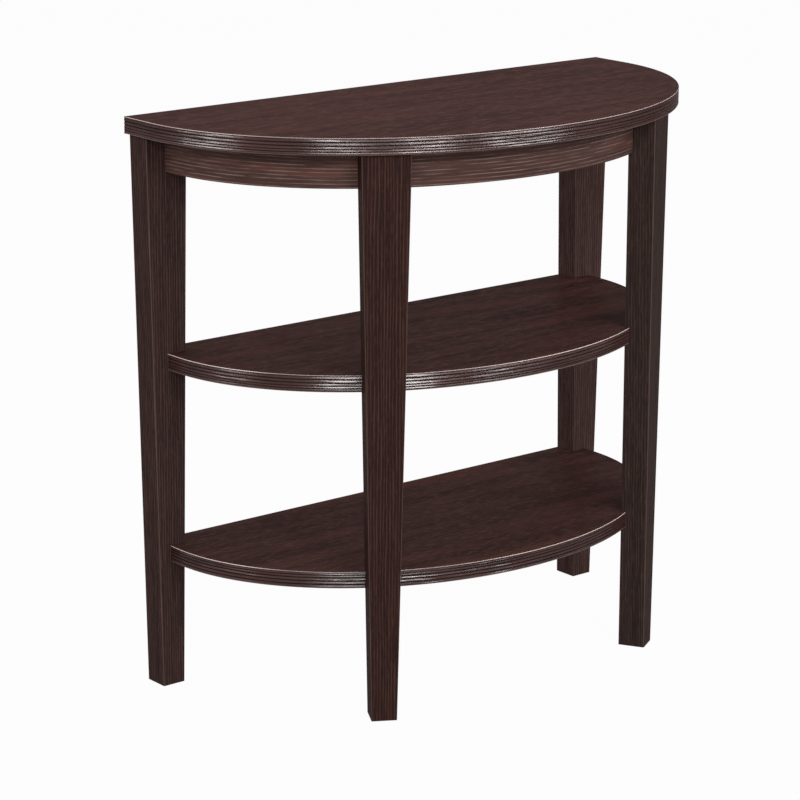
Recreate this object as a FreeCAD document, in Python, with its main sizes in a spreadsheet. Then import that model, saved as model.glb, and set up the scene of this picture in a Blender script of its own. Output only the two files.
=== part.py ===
import FreeCAD, Part
import math
import os
import Sketcher
from FreeCAD import Vector

# Half-moon console table: a bowed top, two bowed shelves notched round four tapered legs, and an apron.
# X runs along the straight back edge, -Y points to the bowed front and +Z up. The origin is on the floor,
# under the middle of the top.
SIZES = {
    "table_height": 750,
    "top_width": 800,
    "top_depth": 377,
    "top_thickness": 22,
    # The ends of the top run straight forward this far before the half-ellipse of the front begins.
    "straight_end": 56,
    "band_thickness": 1.5,
    # The outline of the shelves and of the apron lies this far inside the edge of the top.
    "shelf_inset": 36,
    "shelf_back_inset": 4,
    "shelf_thickness": 22,
    "middle_shelf_level": 446.5,
    "lower_shelf_level": 190.5,
    "apron_height": 47,
    "apron_thickness": 16,
    "rail_height": 47,
    "rail_thickness": 16,
    "rail_back_inset": 10,
    "leg_thickness": 36,
    "leg_top_width": 62,
    "leg_foot_width": 33,
    "leg_edge_radius": 1.5,
    "back_leg_overhang": 7.5,
    "front_leg_overhang": 7,
    # The front legs stand square to the bow, at this many degrees from facing straight forward.
    "front_leg_angle": 30,
    # Play between a leg and the wood that is cut to go round it.
    "fit_gap": 0.3,
    "dowel_diameter": 8,
    "dowel_length": 30,
    "dowel_bite": 12,
    "dowel_chamfer": 1,
    "bolt_thread_diameter": 6,
    "bolt_thread_length": 11,
    "bolt_collar_diameter": 7.4,
    "bolt_collar_length": 2,
    "bolt_shank_diameter": 5,
    "bolt_head_diameter": 7,
    "bolt_head_length": 4,
    "bolt_bore_diameter": 8,
    # Distance from the joint face to the middle of the cam that draws the bolt in.
    "bolt_reach": 34,
    "cam_diameter": 15,
    "cam_length": 15,
    "cam_axis_depth": 11,
    "cam_recess": 0.4,
    "cam_slot_width": 1.4,
    "cam_slot_length": 9,
    "cam_slot_depth": 2.5,
    # Radial play of a fastener in its hole, and spare depth at the far end of a hole.
    "drill_play": 0.1,
    "drill_room": 1,
    # Distance between the bolt and the dowel of one joint.
    "top_joint_spacing": 28,
    "shelf_joint_spacing": 14,
    # The joints of the back legs sit this far forward of the middle of the leg.
    "back_joint_forward": 2,
    "front_dowel_spread": 18,
    "side_dowel_rear_angle": 8,
    "side_dowel_front_angle": 34,
    "rail_dowel_spacing": 220,
    # How far a cutting block runs past the wood that it cuts.
    "cut_over": 2,
}

doc = FreeCAD.newDocument("HalfMoonTable")
sheet = doc.addObject("Spreadsheet::Sheet", "Sizes")
for row, (size_name, size) in enumerate(SIZES.items(), start=1):
    sheet.set(f"A{row}", size_name)
    sheet.set(f"B{row}", str(size))
    sheet.setAlias(f"B{row}", size_name)
doc.recompute()

# Places and sizes worked out from the sheet, as expressions.
HALF_WIDTH = "(Sizes.top_width / 2)"
BOW = "(Sizes.top_depth - Sizes.straight_end)"
BACK = "(Sizes.top_depth / 2)"
BOW_START = "(Sizes.top_depth / 2 - Sizes.straight_end)"
LEG_HEIGHT = "(Sizes.table_height - Sizes.top_thickness)"
HALF_LEG = "(Sizes.leg_thickness / 2)"
SHELF_BACK = f"({BACK} - Sizes.shelf_back_inset)"
SHELF_LEVELS = {"middle_shelf": "Sizes.middle_shelf_level", "lower_shelf": "Sizes.lower_shelf_level"}

# Point of the top's edge that the front legs face, and the centre of the leg behind it.
TURN = "Sizes.front_leg_angle"
FACING = f"sqrt(({HALF_WIDTH} * sin({TURN})) ^ 2 + ({BOW} * cos({TURN})) ^ 2)"
FRONT_SETBACK = f"(Sizes.front_leg_overhang + {HALF_LEG})"
FRONT_LEG_X = f"(({HALF_WIDTH} ^ 2 / {FACING} - {FRONT_SETBACK}) * sin({TURN}))"
FRONT_LEG_Y = f"({BOW_START} - ({BOW} ^ 2 / {FACING} - {FRONT_SETBACK}) * cos({TURN}))"
BACK_LEG_X = f"({HALF_WIDTH} - Sizes.back_leg_overhang - Sizes.leg_top_width / 2)"
BACK_LEG_Y = f"({BACK} - {HALF_LEG})"

SIDES = {"left": -1, "right": 1}
# Turn about Y that points the long end of a fastener down from its joint face.
POINT_DOWN = 180
pieces = []


def value(expression):
    """Number that an expression on the sheet gives."""
    return float(sheet.evalExpression(str(expression)))


def spot(x, y, z, yaw=0, pitch=0, roll=0):
    """Expression of a placement: a point, and turns about Z, Y and X."""
    point = f"create(<<vector>>; {x}; {y}; {z})"
    turn = f"create(<<rotation>>; {yaw}; {pitch}; {roll})"
    return f"create(<<placement>>; {point}; {turn})"


def keep(piece, label):
    """Name a finished sub-part and put it on the list of files."""
    piece.Label = label
    pieces.append(piece)
    return piece


def leg_width(level):
    """Expression of the leg's width at a height above the floor."""
    return f"(Sizes.leg_foot_width + (Sizes.leg_top_width - Sizes.leg_foot_width) * {level} / {LEG_HEIGHT})"


def origin_feature(body, role):
    """Plane or axis of the body's own origin."""
    return next(feature for feature in body.Origin.OriginFeatures if feature.Role == role)


def new_sketch(body, name, role):
    """Sketch on one of the body's origin planes."""
    sketch = body.newObject("Sketcher::SketchObject", name)
    sketch.AttachmentSupport = [(origin_feature(body, role), "")]
    sketch.MapMode = "FlatFace"
    return sketch


def pin(sketch, geometry, point, axis, expression):
    """Hold one coordinate of a sketch point at an expression."""
    constraint = Sketcher.Constraint("Distance" + axis, geometry, point, value(expression))
    index = sketch.addConstraint(constraint)
    sketch.setExpression(f"Constraints[{index}]", expression)


def polygon_sketch(body, name, role, corners):
    """Closed polygon through corners given as pairs of expressions."""
    sketch = new_sketch(body, name, role)
    points = [Vector(value(x), value(y), 0) for x, y in corners]
    count = len(points)
    for index in range(count):
        sketch.addGeometry(Part.LineSegment(points[index], points[(index + 1) % count]))
    for index in range(count):
        sketch.addConstraint(Sketcher.Constraint("Coincident", index, 2, (index + 1) % count, 1))
    for index, (x, y) in enumerate(corners):
        pin(sketch, index, 1, "X", x)
        pin(sketch, index, 1, "Y", y)
    return sketch


def turned_body(name, corners):
    """Body turned about Z from a half profile of (radius, height) corners."""
    body = doc.addObject("PartDesign::Body", name)
    profile = polygon_sketch(body, name + "_profile", "XZ_Plane", corners)
    turning = body.newObject("PartDesign::Revolution", name + "_turning")
    turning.Profile = profile
    turning.ReferenceAxis = (origin_feature(body, "Z_Axis"), [""])
    turning.Angle = 360
    return body


def half_moon(name, inset, back, thickness, level):
    """Board with the bowed outline of the top drawn in by inset, its underside at level."""
    half = f"({HALF_WIDTH} - {inset})"
    bow = f"({BOW} - {inset})"
    body = doc.addObject("PartDesign::Body", name)
    sketch = new_sketch(body, name + "_outline", "XY_Plane")
    half_now = value(half)
    bow_now = value(bow)
    back_now = value(back)
    start_now = value(BOW_START)
    wide = half_now >= bow_now
    back_left = Vector(-half_now, back_now, 0)
    back_right = Vector(half_now, back_now, 0)
    left = Vector(-half_now, start_now, 0)
    right = Vector(half_now, start_now, 0)
    ellipse = Part.Ellipse(Vector(0, start_now, 0), max(half_now, bow_now), min(half_now, bow_now))
    first = math.pi
    if not wide:
        ellipse.AngleXU = math.pi / 2
        first = math.pi / 2
    back_line = sketch.addGeometry(Part.LineSegment(back_left, back_right))
    right_end = sketch.addGeometry(Part.LineSegment(back_right, right))
    bow_line = sketch.addGeometry(Part.ArcOfEllipse(ellipse, first, first + math.pi))
    left_end = sketch.addGeometry(Part.LineSegment(left, back_left))
    major = sketch.GeometryCount
    sketch.exposeInternalGeometry(bow_line)
    minor = major + 1
    joins = ((back_line, 2, right_end, 1), (right_end, 2, bow_line, 2), (bow_line, 1, left_end, 1),
             (left_end, 2, back_line, 1))
    for join in joins:
        sketch.addConstraint(Sketcher.Constraint("Coincident", *join))
    corners = ((back_line, 1, f"-{half}", back), (back_line, 2, half, back),
               (right_end, 2, half, BOW_START), (left_end, 1, f"-{half}", BOW_START))
    for line, point, x, y in corners:
        pin(sketch, line, point, "X", x)
        pin(sketch, line, point, "Y", y)
    pin(sketch, bow_line, 3, "Y", BOW_START)
    sketch.addConstraint(Sketcher.Constraint("Horizontal" if wide else "Vertical", major))
    depth_axis = minor if wide else major
    forward = sketch.Geometry[depth_axis].StartPoint.y < start_now
    pin(sketch, depth_axis, 1 if forward else 2, "Y", f"{BOW_START} - {bow}")
    pad = body.newObject("PartDesign::Pad", name + "_pad")
    pad.Profile = sketch
    pad.setExpression("Length", thickness)
    body.setExpression("Placement.Base.z", level)
    return body


def block(name, length, width, height, placement):
    """Rectangular block bound to expressions."""
    box = doc.addObject("Part::Box", name)
    box.setExpression("Length", length)
    box.setExpression("Width", width)
    box.setExpression("Height", height)
    box.setExpression("Placement", placement)
    return box


def rod(name, radius, height, placement=None):
    """Round rod along Z bound to expressions."""
    cylinder = doc.addObject("Part::Cylinder", name)
    cylinder.setExpression("Radius", radius)
    cylinder.setExpression("Height", height)
    if placement:
        cylinder.setExpression("Placement", placement)
    return cylinder


def cut(name, base, tools):
    """Base with every tool cut out of it."""
    tool = tools[0]
    if len(tools) > 1:
        tool = doc.addObject("Part::Compound", name + "_tools")
        tool.Links = tools
    result = doc.addObject("Part::Cut", name)
    result.Base = base
    result.Tool = tool
    return result


def common(name, base, tool):
    """Part of base that lies inside tool."""
    result = doc.addObject("Part::Common", name)
    result.Base = base
    result.Tool = tool
    return result


def placed(master, name, placement):
    """One copy of a master fastener or drill, placed by an expression."""
    link = doc.addObject("App::Link", name)
    link.LinkedObject = master
    link.LinkTransform = True
    link.setExpression("Placement", placement)
    return link


def make_dowel():
    """Grooveless beech dowel: the joint face is at z 0, and the short end is below it."""
    radius = "(Sizes.dowel_diameter / 2)"
    tip = f"({radius} - Sizes.dowel_chamfer)"
    low = "-Sizes.dowel_bite"
    high = "(Sizes.dowel_length - Sizes.dowel_bite)"
    return turned_body("dowel", [
        ("0", low), (tip, low), (radius, f"{low} + Sizes.dowel_chamfer"),
        (radius, f"{high} - Sizes.dowel_chamfer"), (tip, high), ("0", high)])


def make_cam_bolt():
    """Cam bolt: thread below the joint face, collar on it, and the head at the middle of the cam."""
    thread = "(Sizes.bolt_thread_diameter / 2)"
    collar = "(Sizes.bolt_collar_diameter / 2)"
    shank = "(Sizes.bolt_shank_diameter / 2)"
    head = "(Sizes.bolt_head_diameter / 2)"
    head_start = "(Sizes.bolt_reach - Sizes.bolt_head_length / 2)"
    head_end = "(Sizes.bolt_reach + Sizes.bolt_head_length / 2)"
    return turned_body("cam_bolt", [
        ("0", "-Sizes.bolt_thread_length"), (thread, "-Sizes.bolt_thread_length"), (thread, "0"),
        (collar, "0"), (collar, "Sizes.bolt_collar_length"), (shank, "Sizes.bolt_collar_length"),
        (shank, head_start), (head, head_start), (head, head_end), ("0", head_end)])


def make_cam_lock():
    """Cam disc across the bolt's head, with its bolt mouth and the cross slot on its open face."""
    face = "(Sizes.cam_axis_depth - Sizes.cam_recess)"
    barrel = rod("cam_barrel", "Sizes.cam_diameter / 2", "Sizes.cam_length",
                 spot(0, face, "Sizes.bolt_reach", roll=90))
    mouth_start = "(Sizes.bolt_reach - Sizes.cam_diameter / 2 - Sizes.cut_over)"
    mouth_length = "Sizes.cam_diameter / 2 + Sizes.cut_over + Sizes.bolt_head_length / 2 + Sizes.drill_play"
    mouth = rod("cam_mouth", "Sizes.bolt_head_diameter / 2 + Sizes.drill_play", mouth_length,
                spot(0, 0, mouth_start))
    half_slot = "Sizes.cam_slot_length / 2"
    half_gap = "Sizes.cam_slot_width / 2"
    slot_floor = f"({face} - Sizes.cam_slot_depth)"
    slot_rise = "Sizes.cam_slot_depth + Sizes.cut_over"
    long_slot = block("cam_slot_long", "Sizes.cam_slot_width", slot_rise, "Sizes.cam_slot_length",
                      spot(f"-{half_gap}", slot_floor, f"Sizes.bolt_reach - {half_slot}"))
    cross_slot = block("cam_slot_cross", "Sizes.cam_slot_length", slot_rise, "Sizes.cam_slot_width",
                       spot(f"-{half_slot}", slot_floor, f"Sizes.bolt_reach - {half_gap}"))
    cross = doc.addObject("Part::Fuse", "cam_cross")
    cross.Base = long_slot
    cross.Tool = cross_slot
    return cut("cam_lock", barrel, [mouth, cross])


def make_drills():
    """Holes for the fasteners, in the same places as the fasteners themselves."""
    dowel_hole = rod("dowel_hole", "Sizes.dowel_diameter / 2 + Sizes.drill_play",
                     "Sizes.dowel_length + Sizes.drill_room", spot(0, 0, "-Sizes.dowel_bite"))
    pilot = rod("pilot_hole", "Sizes.bolt_thread_diameter / 2 + Sizes.drill_play",
                "Sizes.bolt_thread_length + Sizes.drill_room", spot(0, 0, "-Sizes.bolt_thread_length"))
    seat = rod("collar_seat", "Sizes.bolt_collar_diameter / 2 + Sizes.drill_play", "Sizes.cut_over")
    bore = rod("bolt_bore", "Sizes.bolt_bore_diameter / 2", "Sizes.bolt_reach + Sizes.cut_over",
               spot(0, 0, "-Sizes.cut_over"))
    pocket_length = "Sizes.cam_length + Sizes.cam_recess + Sizes.cut_over"
    pocket = rod("cam_pocket", "Sizes.cam_diameter / 2 + Sizes.drill_play", pocket_length,
                 spot(0, "Sizes.cam_axis_depth + Sizes.cut_over", "Sizes.bolt_reach", roll=90))
    return {"dowel": dowel_hole, "pilot": pilot, "seat": seat, "bore": bore, "pocket": pocket}


dowel = make_dowel()
cam_bolt = make_cam_bolt()
cam_lock = make_cam_lock()
drills = make_drills()


def leg_places():
    """Placement of each leg, with its side and whether it is a front leg."""
    places = {}
    for side, sign in SIDES.items():
        back_place = spot(f"{sign} * {BACK_LEG_X}", BACK_LEG_Y, 0)
        front_place = spot(f"{sign} * {FRONT_LEG_X}", FRONT_LEG_Y, 0, yaw=f"{sign} * {TURN}")
        places[f"back_{side}_leg"] = (back_place, sign, False)
        places[f"front_{side}_leg"] = (front_place, sign, True)
    return places


LEGS = leg_places()


def top_joint():
    """Places, in a leg's own frame, of the bolt and the dowel that hold the top on the leg."""
    half = "Sizes.top_joint_spacing / 2"
    bolt = spot(f"-{half}", f"{HALF_LEG} - Sizes.cam_axis_depth", LEG_HEIGHT, pitch=POINT_DOWN)
    return bolt, spot(half, 0, LEG_HEIGHT, pitch=POINT_DOWN)


def shelf_joint(level, sign, front):
    """Places, in a leg's own frame, of the bolt and the dowel that hold a shelf on the leg."""
    half = "Sizes.shelf_joint_spacing / 2"
    height = f"({level} - Sizes.shelf_thickness + Sizes.cam_axis_depth)"
    if front:
        return tuple(spot(f"{way} * {half}", HALF_LEG, height, roll=-90) for way in (-1, 1))
    cheek = f"{-sign} * {leg_width(height)} / 2"
    return tuple(spot(cheek, f"{way} * {half} - Sizes.back_joint_forward", height, yaw=sign * 90, roll=-90)
                 for way in (-1, 1))


def make_leg(name, place, sign, front):
    """Tapered leg with eased edges and the holes for its fasteners."""
    body = doc.addObject("PartDesign::Body", name + "_blank")
    half_foot = "(Sizes.leg_foot_width / 2)"
    half_head = "(Sizes.leg_top_width / 2)"
    face = polygon_sketch(body, name + "_face", "XZ_Plane", [
        (f"-{half_foot}", "0"), (half_foot, "0"), (half_head, LEG_HEIGHT), (f"-{half_head}", LEG_HEIGHT)])
    pad = body.newObject("PartDesign::Pad", name + "_pad")
    pad.Profile = face
    pad.SideType = "Symmetric"
    pad.setExpression("Length", "Sizes.leg_thickness")
    doc.recompute()
    long_edges = [f"Edge{index}" for index, edge in enumerate(pad.Shape.Edges, start=1)
                  if edge.Length >= value(LEG_HEIGHT)]
    easing = body.newObject("PartDesign::Fillet", name + "_easing")
    easing.Base = (pad, long_edges)
    easing.setExpression("Radius", "Sizes.leg_edge_radius")
    bolt_spot, dowel_spot = top_joint()
    holes = [placed(drills["bore"], name + "_top_bore", bolt_spot),
             placed(drills["pocket"], name + "_top_pocket", bolt_spot),
             placed(drills["dowel"], name + "_top_dowel_hole", dowel_spot)]
    for shelf, level in SHELF_LEVELS.items():
        bolt_spot, dowel_spot = shelf_joint(level, sign, front)
        holes.append(placed(drills["pilot"], f"{name}_{shelf}_pilot", bolt_spot))
        holes.append(placed(drills["dowel"], f"{name}_{shelf}_dowel_hole", dowel_spot))
        if not front:
            holes.append(placed(drills["seat"], f"{name}_{shelf}_seat", bolt_spot))
    leg = cut(name, body, holes)
    leg.setExpression("Placement", place)
    return keep(leg, name)


def leg_slot(name, floor, ceiling, depth, place):
    """Wedge with the taper of a leg and the play round it, from one height above the floor to another."""
    slot = doc.addObject("Part::Wedge", name)
    half_low = f"({leg_width(floor)} / 2 + Sizes.fit_gap)"
    half_high = f"({leg_width(ceiling)} / 2 + Sizes.fit_gap)"
    rear = f"{HALF_LEG} - {depth}"
    bounds = {"Xmin": f"-{half_low}", "Xmax": half_low, "X2min": f"-{half_high}", "X2max": half_high,
              "Ymin": "0", "Ymax": f"{ceiling} - {floor}",
              "Zmin": rear, "Zmax": HALF_LEG, "Z2min": rear, "Z2max": HALF_LEG}
    for bound, expression in bounds.items():
        slot.setExpression(bound, expression)
    slot.setExpression("Placement", f"{place} * {spot(0, 0, floor, roll=90)}")
    return slot


def leg_slots(name, level, height, front_depth):
    """Wedges that clear a board of the given top level and height round the four legs."""
    floor = f"({level} - {height} - Sizes.cut_over)"
    ceiling = f"({level} + Sizes.cut_over)"
    slots = []
    for leg, (place, sign, front) in LEGS.items():
        depth = front_depth if front else "Sizes.leg_thickness"
        slots.append(leg_slot(f"{name}_slot_{leg}", floor, ceiling, f"({depth})", place))
    return slots


def front_zones(name, level, height):
    """Blocks that part a bowed strip at the front legs into its left, front and right lengths."""
    floor = f"{level} - {height} - Sizes.cut_over"
    rise = f"{height} + 2 * Sizes.cut_over"
    side = f"({HALF_WIDTH} - {FRONT_LEG_X})"
    edges = {"left": (f"-{HALF_WIDTH}", side), "front": (f"-{FRONT_LEG_X}", f"2 * {FRONT_LEG_X}"),
             "right": (FRONT_LEG_X, side)}
    zones = {}
    for zone, (start, length) in edges.items():
        corner = spot(start, f"-{BACK}", floor)
        zones[zone] = block(f"{name}_zone_{zone}", length, "Sizes.top_depth", rise, corner)
    return zones


def bowed_strips(name, suffix, inset, thickness, back, level, height, front_depth):
    """Left, front and right strips along the bowed outline, cut off along the legs."""
    floor = f"{level} - {height}"
    outer = half_moon(name + "_outer", inset, back, height, floor)
    inner = half_moon(name + "_inner", f"({inset} + {thickness})", back, height, floor)
    ring = cut(name + "_ring", outer, [inner])
    parted = cut(name + "_parted", ring, leg_slots(name, level, height, front_depth))
    strips = {}
    for zone, zone_block in front_zones(name, level, height).items():
        label = f"{suffix[0]}{zone}{suffix[1]}"
        strips[zone] = common(label, parted, zone_block)
    return strips


def apron_dowel_spots():
    """Places of the upright dowels between the apron and the top."""
    middle = "(Sizes.shelf_inset + Sizes.apron_thickness / 2)"
    angles = {"front": ["90 - Sizes.front_dowel_spread", "90", "90 + Sizes.front_dowel_spread"],
              "right": ["Sizes.side_dowel_rear_angle", "Sizes.side_dowel_front_angle"],
              "left": ["180 - Sizes.side_dowel_rear_angle", "180 - Sizes.side_dowel_front_angle"]}
    spots = {}
    for zone, zone_angles in angles.items():
        spots[zone] = []
        for angle in zone_angles:
            x = f"({HALF_WIDTH} - {middle}) * cos({angle})"
            y = f"{BOW_START} - ({BOW} - {middle}) * sin({angle})"
            spots[zone].append(spot(x, y, LEG_HEIGHT, pitch=POINT_DOWN))
    return spots


def rail_dowel_spots():
    """Places of the upright dowels between the back rail and the top."""
    middle = f"{BACK} - Sizes.rail_back_inset - Sizes.rail_thickness / 2"
    return [spot(f"{way} * Sizes.rail_dowel_spacing", middle, LEG_HEIGHT, pitch=POINT_DOWN)
            for way in (-1, 0, 1)]


def dowel_group(label, spots):
    """Dowels of one kind of joint."""
    group = doc.addObject("Part::Compound", label)
    group.Links = [placed(dowel, f"{label}_{index}", place) for index, place in enumerate(spots)]
    return keep(group, label)


def dowel_holes(name, spots):
    """Drills for a row of dowels."""
    return [placed(drills["dowel"], f"{name}_dowel_hole_{index}", place)
            for index, place in enumerate(spots)]


def fastener_groups(joint, joint_spots):
    """Cam bolts, cam locks and dowels of one board, one of each at every leg."""
    bolts = doc.addObject("Part::Compound", joint + "_cam_bolts")
    locks = doc.addObject("Part::Compound", joint + "_cam_locks")
    bolts.Links = [placed(cam_bolt, f"{joint}_bolt_{leg}", bolt_spot)
                   for leg, (bolt_spot, dowel_spot) in joint_spots.items()]
    locks.Links = [placed(cam_lock, f"{joint}_lock_{leg}", bolt_spot)
                   for leg, (bolt_spot, dowel_spot) in joint_spots.items()]
    keep(bolts, joint + "_cam_bolts")
    keep(locks, joint + "_cam_locks")
    dowel_group(joint + "_dowels", [dowel_spot for bolt_spot, dowel_spot in joint_spots.values()])


def make_top(apron_spots, rail_spots):
    """Top board with its edge bands, drilled from below, and the fasteners that hold it on the legs."""
    joint_spots = {}
    holes = []
    for leg, (place, sign, front) in LEGS.items():
        joint_spots[leg] = tuple(f"{place} * {local}" for local in top_joint())
        bolt_spot, dowel_spot = joint_spots[leg]
        holes.append(placed(drills["pilot"], f"top_pilot_{leg}", bolt_spot))
        holes.append(placed(drills["dowel"], f"top_dowel_hole_{leg}", dowel_spot))
    for zone, spots in apron_spots.items():
        holes += dowel_holes(f"top_{zone}_apron", spots)
    holes += dowel_holes("top_rail", rail_spots)
    band_back = f"({BACK} - Sizes.band_thickness)"
    core = half_moon("top_core", "Sizes.band_thickness", band_back, "Sizes.top_thickness", LEG_HEIGHT)
    keep(cut("top_panel", core, holes), "top_panel")
    outer = half_moon("top_outer", "0", band_back, "Sizes.top_thickness", LEG_HEIGHT)
    keep(cut("top_front_band", outer, [core]), "top_front_band")
    keep(block("top_back_band", "Sizes.top_width", "Sizes.band_thickness", "Sizes.top_thickness",
               spot(f"-{HALF_WIDTH}", band_back, LEG_HEIGHT)), "top_back_band")
    fastener_groups("top", joint_spots)


def make_shelf(shelf, level):
    """Shelf board notched round the legs, its edge bands and its fasteners."""
    floor = f"{level} - Sizes.shelf_thickness"
    band_back = f"({SHELF_BACK} - Sizes.band_thickness)"
    core_inset = "(Sizes.shelf_inset + Sizes.band_thickness)"
    joint_spots = {}
    slots = leg_slots(shelf, level, "Sizes.shelf_thickness", "Sizes.leg_thickness")
    tools = list(slots)
    for leg, (place, sign, front) in LEGS.items():
        joint_spots[leg] = tuple(f"{place} * {local}" for local in shelf_joint(level, sign, front))
        bolt_spot, dowel_spot = joint_spots[leg]
        tools.append(placed(drills["bore"], f"{shelf}_bore_{leg}", bolt_spot))
        tools.append(placed(drills["pocket"], f"{shelf}_pocket_{leg}", bolt_spot))
        tools.append(placed(drills["dowel"], f"{shelf}_dowel_hole_{leg}", dowel_spot))
    core = half_moon(shelf + "_core", core_inset, band_back, "Sizes.shelf_thickness", floor)
    board = core
    for index, tool in enumerate(tools):
        board = cut(f"{shelf}_cut_{index}", board, [tool])
    keep(board, shelf)
    bands = bowed_strips(shelf + "_edge", (shelf + "_", "_band"), "Sizes.shelf_inset",
                         "Sizes.band_thickness", band_back, level, "Sizes.shelf_thickness",
                         "Sizes.leg_thickness")
    for zone, band in bands.items():
        keep(band, f"{shelf}_{zone}_band")
    strip = block(shelf + "_back_strip", f"2 * {BACK_LEG_X}", "Sizes.band_thickness",
                  "Sizes.shelf_thickness", spot(f"-{BACK_LEG_X}", band_back, floor))
    keep(cut(shelf + "_back_band", strip, slots), shelf + "_back_band")
    fastener_groups(shelf, joint_spots)


def make_aprons(apron_spots):
    """Left, front and right aprons under the top, cut off along the legs."""
    strips = bowed_strips("apron", ("", "_apron_strip"), "Sizes.shelf_inset", "Sizes.apron_thickness", BACK,
                          LEG_HEIGHT, "Sizes.apron_height", "Sizes.leg_thickness + Sizes.apron_thickness")
    for zone, strip in strips.items():
        keep(cut(zone + "_apron", strip, dowel_holes(zone + "_apron", apron_spots[zone])), zone + "_apron")
    dowel_group("apron_dowels", [place for spots in apron_spots.values() for place in spots])


def make_back_rail(rail_spots):
    """Straight rail between the back legs, under the top."""
    front = f"{BACK} - Sizes.rail_back_inset - Sizes.rail_thickness"
    blank = block("back_rail_blank", f"2 * {BACK_LEG_X}", "Sizes.rail_thickness", "Sizes.rail_height",
                  spot(f"-{BACK_LEG_X}", front, f"{LEG_HEIGHT} - Sizes.rail_height"))
    slots = leg_slots("rail", LEG_HEIGHT, "Sizes.rail_height", "Sizes.leg_thickness")
    keep(cut("back_rail", blank, slots + dowel_holes("rail", rail_spots)), "back_rail")
    dowel_group("rail_dowels", rail_spots)


def check_document():
    """Stop if an object failed, or if a sub-part has no valid solid."""
    for item in doc.Objects:
        if "Invalid" in item.State or "Error" in item.State:
            raise RuntimeError(f"{item.Name} failed: {item.State}")
    for piece in pieces:
        shape = piece.Shape
        if shape.isNull() or not shape.isValid() or not shape.Solids:
            raise RuntimeError(f"{piece.Label} has no valid solid")


apron_spots = apron_dowel_spots()
rail_spots = rail_dowel_spots()
make_top(apron_spots, rail_spots)
for leg_name, (leg_place, leg_sign, is_front) in LEGS.items():
    make_leg(leg_name, leg_place, leg_sign, is_front)
for shelf_name, shelf_level in SHELF_LEVELS.items():
    make_shelf(shelf_name, shelf_level)
make_aprons(apron_spots)
make_back_rail(rail_spots)
doc.recompute()
check_document()

os.makedirs("parts", exist_ok=True)
for piece in pieces:
    piece.Shape.exportStep(f"parts/{piece.Label}.step")
    print(piece.Label, len(piece.Shape.Solids), "solids", round(piece.Shape.Volume), "mm3")
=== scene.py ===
"""Half-moon console table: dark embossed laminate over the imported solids, with ridged edge bands."""
import logging
import math
from dataclasses import dataclass, field, replace
from enum import Enum
from typing import Any, Iterable

import bpy
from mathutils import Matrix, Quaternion, Vector


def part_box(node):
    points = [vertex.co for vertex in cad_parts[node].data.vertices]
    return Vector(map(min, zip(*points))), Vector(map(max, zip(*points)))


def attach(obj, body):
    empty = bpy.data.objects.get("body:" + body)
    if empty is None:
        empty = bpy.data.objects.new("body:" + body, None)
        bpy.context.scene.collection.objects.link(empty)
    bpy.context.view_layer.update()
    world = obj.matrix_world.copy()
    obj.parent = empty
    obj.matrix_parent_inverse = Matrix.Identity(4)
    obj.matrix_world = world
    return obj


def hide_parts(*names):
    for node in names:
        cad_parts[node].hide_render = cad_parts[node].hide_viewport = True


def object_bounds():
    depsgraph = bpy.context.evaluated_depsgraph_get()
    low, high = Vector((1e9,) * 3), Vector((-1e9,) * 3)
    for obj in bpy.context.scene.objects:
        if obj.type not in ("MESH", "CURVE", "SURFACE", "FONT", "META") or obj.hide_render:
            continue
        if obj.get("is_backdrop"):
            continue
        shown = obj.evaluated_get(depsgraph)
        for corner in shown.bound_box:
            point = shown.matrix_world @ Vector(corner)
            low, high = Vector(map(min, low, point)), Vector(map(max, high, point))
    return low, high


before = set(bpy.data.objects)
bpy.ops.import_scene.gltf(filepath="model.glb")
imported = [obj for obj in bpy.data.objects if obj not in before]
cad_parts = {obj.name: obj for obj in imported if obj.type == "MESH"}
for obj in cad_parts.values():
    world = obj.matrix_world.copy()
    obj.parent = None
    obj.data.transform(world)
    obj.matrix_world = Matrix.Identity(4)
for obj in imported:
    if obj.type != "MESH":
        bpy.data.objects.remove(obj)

LOG = logging.getLogger("half_moon_table")
BODY = "root"
Colour = tuple[float, float, float]


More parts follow.
